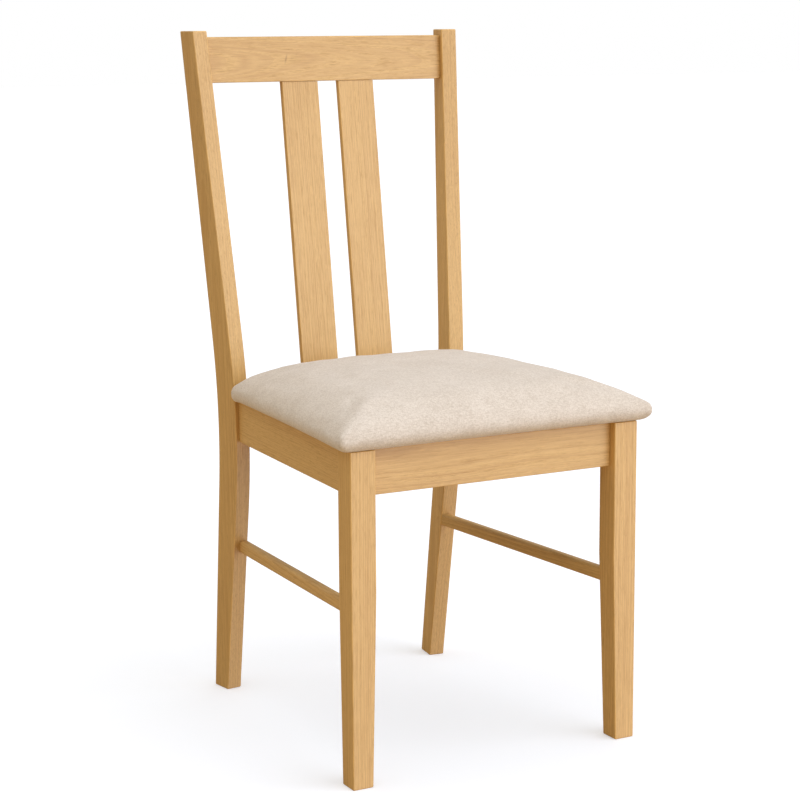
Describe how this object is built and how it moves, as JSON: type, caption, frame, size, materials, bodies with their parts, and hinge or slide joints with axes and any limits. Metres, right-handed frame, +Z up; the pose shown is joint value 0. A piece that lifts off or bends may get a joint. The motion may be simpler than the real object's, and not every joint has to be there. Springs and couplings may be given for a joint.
{
  "type": "dining chair",
  "caption": "Free-standing oak dining chair: bent rear posts, top rail over vertical back splats, side stretchers and an upholstered seat pad.",
  "frame": {"origin": "on the floor, at the middle of the chair's bounding box in plan", "axes": "+Z up, -Y is the chair's front, +X is the sitter's left and the right of someone facing the chair"},
  "size_m": [0.4694, 0.5216, 0.95],
  "materials": {
    "oak": "satin, clear oiled light oak",
    "dowel_wood": "bare beech",
    "block_wood": "bare hardwood",
    "plywood": "bare plywood",
    "screw_steel": "zinc plated",
    "seat_fabric": "cream heathered weave",
    "foam": "open-cell upholstery foam",
    "dust_cloth": "black non-woven cloth"
  },
  "bodies": {
    "root": {"block_screw_front_left_1": "screw_steel", "block_screw_front_left_2": "screw_steel", "block_screw_front_right_1": "screw_steel", "block_screw_front_right_2": "screw_steel", "block_screw_rear_left_1": "screw_steel", "block_screw_rear_left_2": "screw_steel", "block_screw_rear_right_1": "screw_steel", "block_screw_rear_right_2": "screw_steel", "corner_block_front_left": "block_wood", "corner_block_front_right": "block_wood", "corner_block_rear_left": "block_wood", "corner_block_rear_right": "block_wood", "front_leg_left": "oak", "front_leg_right": "oak", "front_rail": "oak", "front_rail_dowel_left_1": "dowel_wood", "front_rail_dowel_left_2": "dowel_wood", "front_rail_dowel_right_1": "dowel_wood", "front_rail_dowel_right_2": "dowel_wood", "rear_post_left": "oak", "rear_post_right": "oak", "rear_rail": "oak", "rear_rail_dowel_left_1": "dowel_wood", "rear_rail_dowel_left_2": "dowel_wood", "rear_rail_dowel_right_1": "dowel_wood", "rear_rail_dowel_right_2": "dowel_wood", "seat_base_board": "plywood", "seat_cover": "seat_fabric", "seat_dust_cloth": "dust_cloth", "seat_foam": "foam", "seat_screw_front_left_1": "screw_steel", "seat_screw_front_right_1": "screw_steel", "seat_screw_rear_left_1": "screw_steel", "seat_screw_rear_right_1": "screw_steel", "side_rail_front_dowel_left_1": "dowel_wood", "side_rail_front_dowel_left_2": "dowel_wood", "side_rail_front_dowel_right_1": "dowel_wood", "side_rail_front_dowel_right_2": "dowel_wood", "side_rail_left": "oak", "side_rail_rear_dowel_left_1": "dowel_wood", "side_rail_rear_dowel_left_2": "dowel_wood", "side_rail_rear_dowel_right_1": "dowel_wood", "side_rail_rear_dowel_right_2": "dowel_wood", "side_rail_right": "oak", "splat_left": "oak", "splat_right": "oak", "stretcher_left": "oak", "stretcher_right": "oak", "top_rail": "oak", "top_rail_dowel_left_1": "dowel_wood", "top_rail_dowel_left_2": "dowel_wood", "top_rail_dowel_right_1": "dowel_wood", "top_rail_dowel_right_2": "dowel_wood"}
  },
  "joints": []
}
